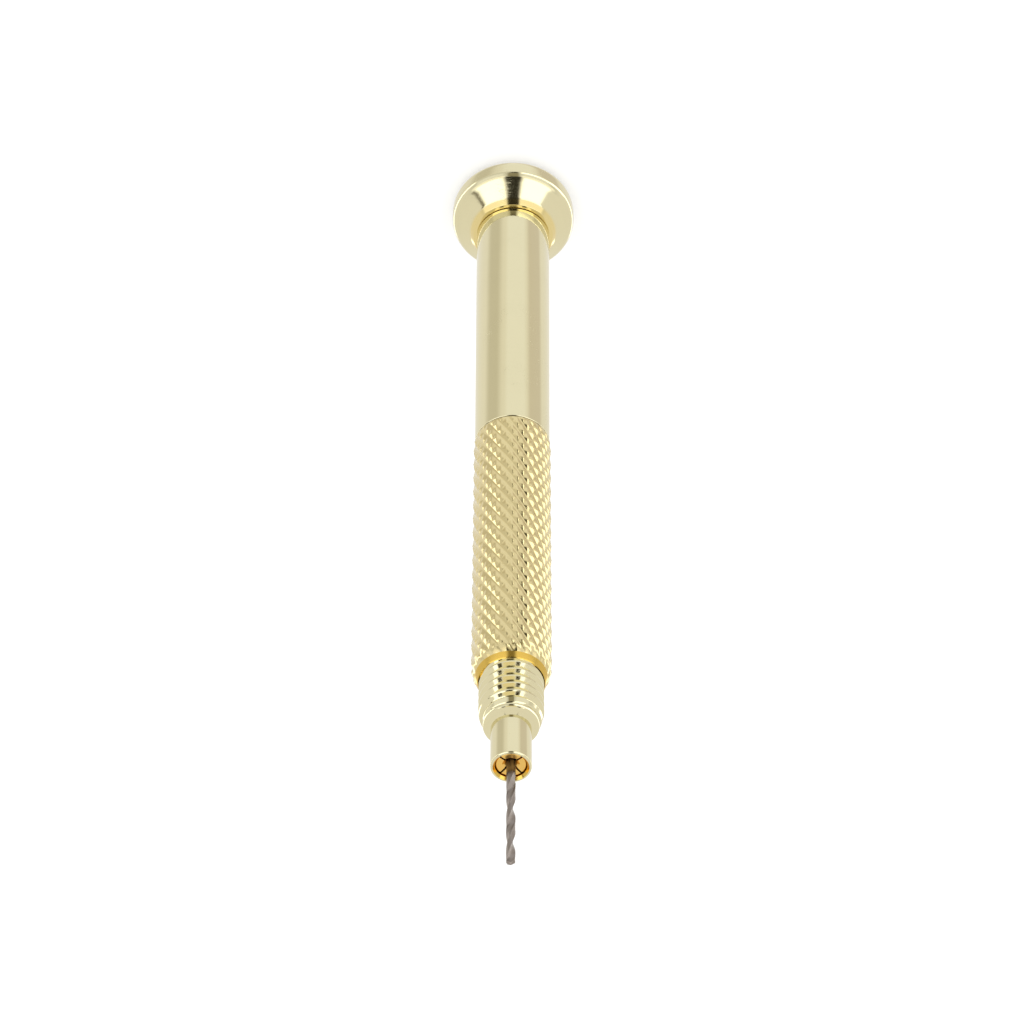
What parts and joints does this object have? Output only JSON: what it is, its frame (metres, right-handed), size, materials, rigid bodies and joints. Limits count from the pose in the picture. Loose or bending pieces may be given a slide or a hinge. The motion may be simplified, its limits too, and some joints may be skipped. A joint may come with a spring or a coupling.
{
  "type": "pin vise drill",
  "caption": "Pocket hand drill with a swivel palm cap, smooth tube handle, knurled grip, threaded chuck sleeve, collet and a small twist drill.",
  "frame": {"origin": "centre of the swivel cap's flat end, which the tool stands on", "axes": "+Z along the tool's axis from the cap to the drill; +X and +Y are the two directions across it"},
  "size_m": [0.0102, 0.0102, 0.0805],
  "materials": {
    "gold_brass": "polished pale gold",
    "turned_brass": "turned, not polished",
    "bearing_steel": "ground",
    "drill_steel": "dark ground tool steel"
  },
  "bodies": {
    "handle": {"handle_tube": "gold_brass", "knurled_grip": "gold_brass", "collet_stop": "bearing_steel", "pivot_plug": "turned_brass", "pivot_screw": "bearing_steel", "screw_washer": "bearing_steel", "shaft_washer": "bearing_steel"},
    "cap": {"swivel_cap": "gold_brass", "cap_cover": "gold_brass", "housing_washer": "bearing_steel"},
    "bearing": {"ball_cage": "turned_brass", "ball_1": "bearing_steel", "ball_2": "bearing_steel", "ball_3": "bearing_steel", "ball_4": "bearing_steel", "ball_5": "bearing_steel", "ball_6": "bearing_steel", "ball_7": "bearing_steel", "ball_8": "bearing_steel"},
    "collet_body": {"collet": "turned_brass"},
    "sleeve": {"chuck_sleeve": "gold_brass"},
    "drill_bit": {"drill": "drill_steel"}
  },
  "joints": [
    {"name": "cap_spin", "type": "hinge", "parent": "handle", "child": "cap", "pos_m": [0, 0, 0.0022], "axis": [0, 0, 1], "continuous": true},
    {"name": "bearing_spin", "type": "hinge", "parent": "handle", "child": "bearing", "pos_m": [0, 0, 0.00305], "axis": [0, 0, 1], "continuous": true},
    {"name": "chuck_advance", "type": "slide", "parent": "handle", "child": "collet_body", "axis": [0, 0, 1], "range_m": [0, 0.0024]},
    {"name": "chuck_turn", "type": "hinge", "parent": "collet_body", "child": "sleeve", "pos_m": [0, 0, 0.0636], "axis": [0, 0, 1], "range_deg": [0, 1080]},
    {"name": "drill_slide", "type": "slide", "parent": "collet_body", "child": "drill_bit", "axis": [0, 0, 1], "range_m": [0, 0.02]}
  ],
  "couplings": [
    {"joint": "bearing_spin", "follows": "cap_spin", "ratio": 0.5},
    {"joint": "chuck_turn", "follows": "chuck_advance", "rad_per_m": 7854}
  ]
}
